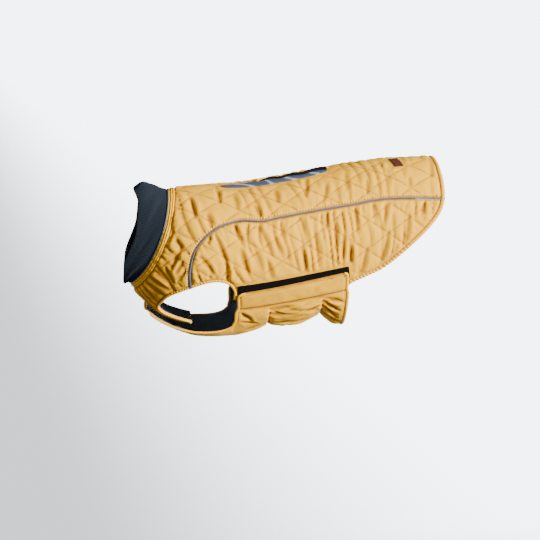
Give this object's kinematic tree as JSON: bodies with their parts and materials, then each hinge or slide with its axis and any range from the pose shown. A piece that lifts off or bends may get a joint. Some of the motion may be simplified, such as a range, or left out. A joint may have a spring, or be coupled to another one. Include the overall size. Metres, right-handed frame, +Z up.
{
  "type": "dog winter coat",
  "caption": "Padded quilted coat for a dog, in its worn hollow form, with a rib collar, bound edges, leg holes and a belly panel that closes on loop tape.",
  "frame": {"origin": "inside the coat at the top of the neck seam, where the wearer's back carries it", "axes": "+X towards the tail, -Y the wearer's left and +Z up"},
  "size_m": [0.649, 0.2632, 0.3675],
  "materials": {
    "shell": "matt woven mustard shell, quilted",
    "belly_shell": "matt woven mustard shell, plain",
    "binding": "pale yellow binding tape",
    "collar_knit": "navy rib knit",
    "reflective": "blue-grey reflective tape",
    "black_tape": "black brushed loop tape",
    "leather": "smooth brown leather"
  },
  "bodies": {
    "root": {"collar_rib": "collar_knit", "neck_band": "shell", "back_panel": "shell", "chest_panel": "shell", "hem_binding": "binding", "belly_panel": "belly_shell", "belly_rear_binding": "binding", "harness_welt": "reflective", "zip_tape": "black_tape", "leather_label": "leather", "side_panel_left": "shell", "piping_left": "reflective", "leg_binding_left": "binding", "loop_tape_left": "black_tape", "wing_band_left": "belly_shell", "belly_front_binding_left": "binding", "side_panel_right": "shell", "piping_right": "reflective", "leg_binding_right": "binding", "loop_tape_right": "black_tape", "wing_band_right": "belly_shell", "belly_front_binding_right": "binding"}
  },
  "joints": []
}
